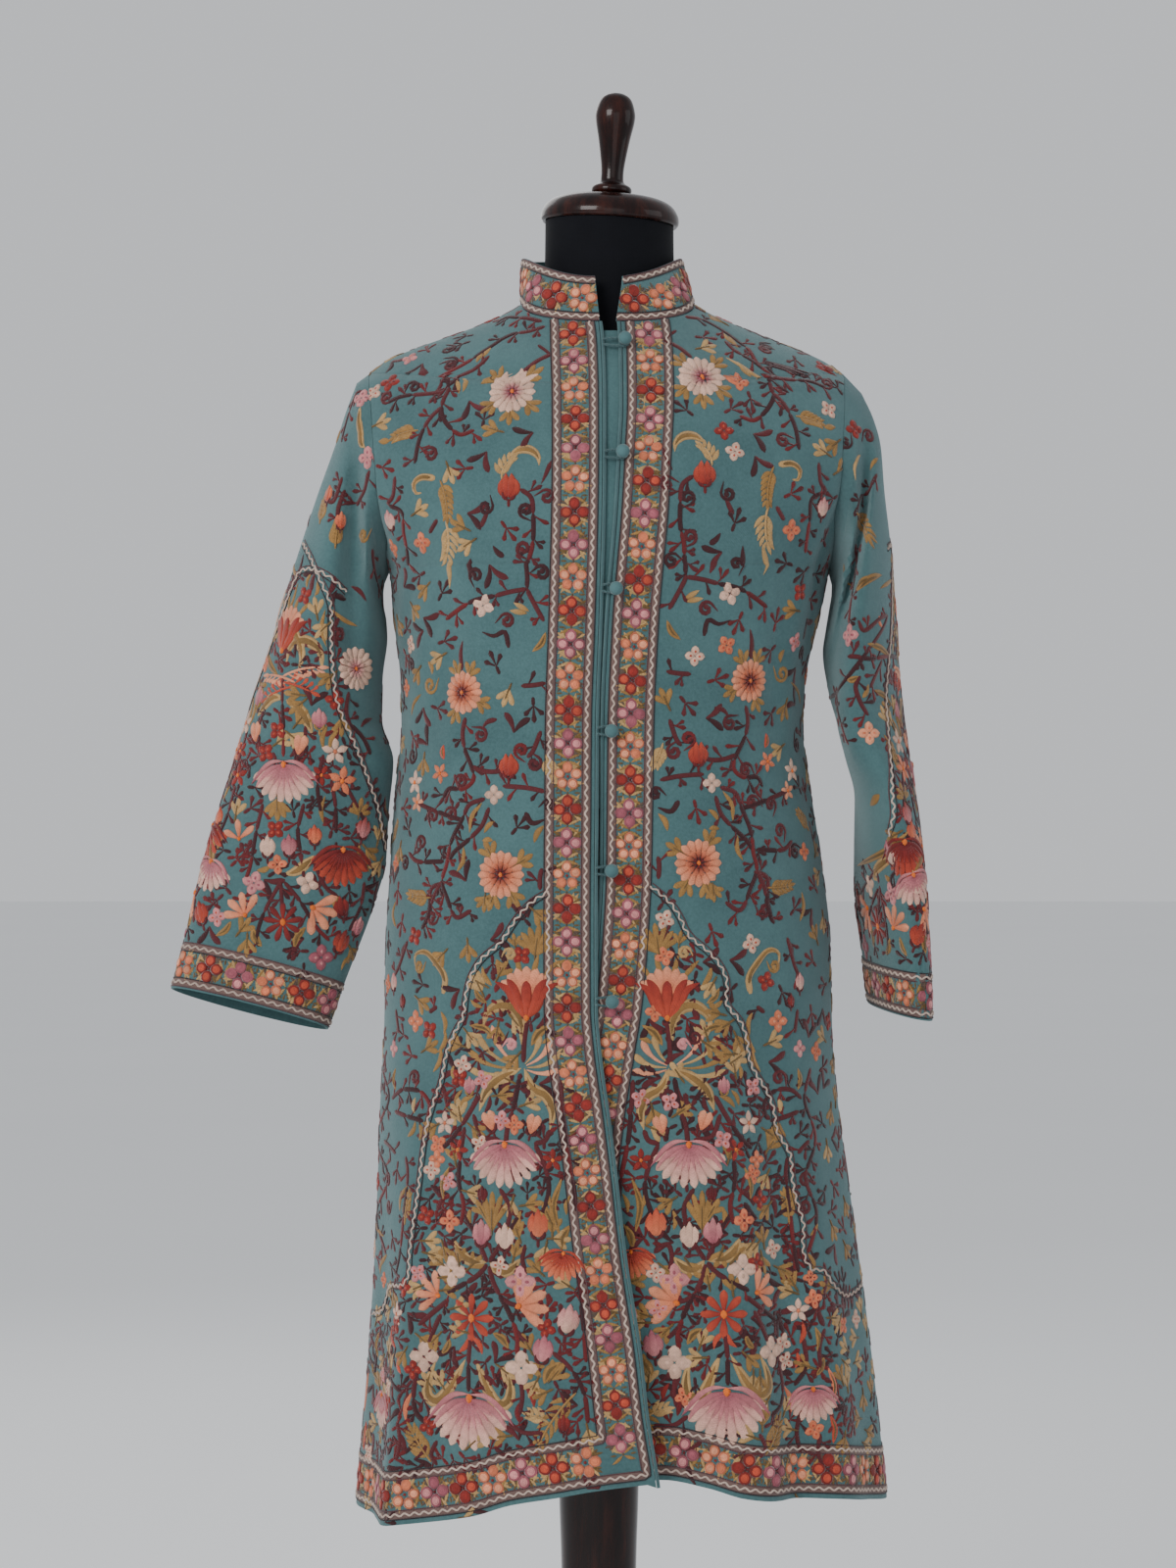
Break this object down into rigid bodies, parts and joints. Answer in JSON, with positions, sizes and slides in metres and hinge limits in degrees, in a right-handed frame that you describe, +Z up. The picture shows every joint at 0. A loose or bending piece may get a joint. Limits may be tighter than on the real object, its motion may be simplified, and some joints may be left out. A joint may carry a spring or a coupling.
{
  "type": "long jacket on a dress form",
  "caption": "Knee-length embroidered wool jacket with stand collar, loop-and-button front and wide sleeves, on a limbless dress form with a turned wooden stand.",
  "frame": {"origin": "centre of the stand's foot, on the floor", "axes": "+Z up, -Y towards the jacket's front, +X towards the wearer's left"},
  "size_m": [0.6752, 0.39, 1.6305],
  "materials": {
    "teal_wool": "matt twill wool, densely embroidered",
    "teal_binding": "matt bound edge and covered buttons",
    "black_jersey": "smooth matt jersey",
    "dark_mahogany": "glossy dark lacquer"
  },
  "bodies": {
    "root": {"front_right": "teal_wool", "front_left": "teal_wool", "back": "teal_wool", "sleeve_right": "teal_wool", "sleeve_left": "teal_wool", "collar": "teal_wool", "placket": "teal_binding", "piping_right": "teal_binding", "piping_left": "teal_binding", "button_1": "teal_binding", "button_2": "teal_binding", "button_3": "teal_binding", "button_4": "teal_binding", "button_5": "teal_binding", "button_6": "teal_binding", "loop_1": "teal_binding", "loop_2": "teal_binding", "loop_3": "teal_binding", "loop_4": "teal_binding", "loop_5": "teal_binding", "loop_6": "teal_binding", "dress_form": "black_jersey", "neck_cap": "dark_mahogany", "finial": "dark_mahogany", "pole": "dark_mahogany", "foot": "dark_mahogany"}
  },
  "joints": []
}
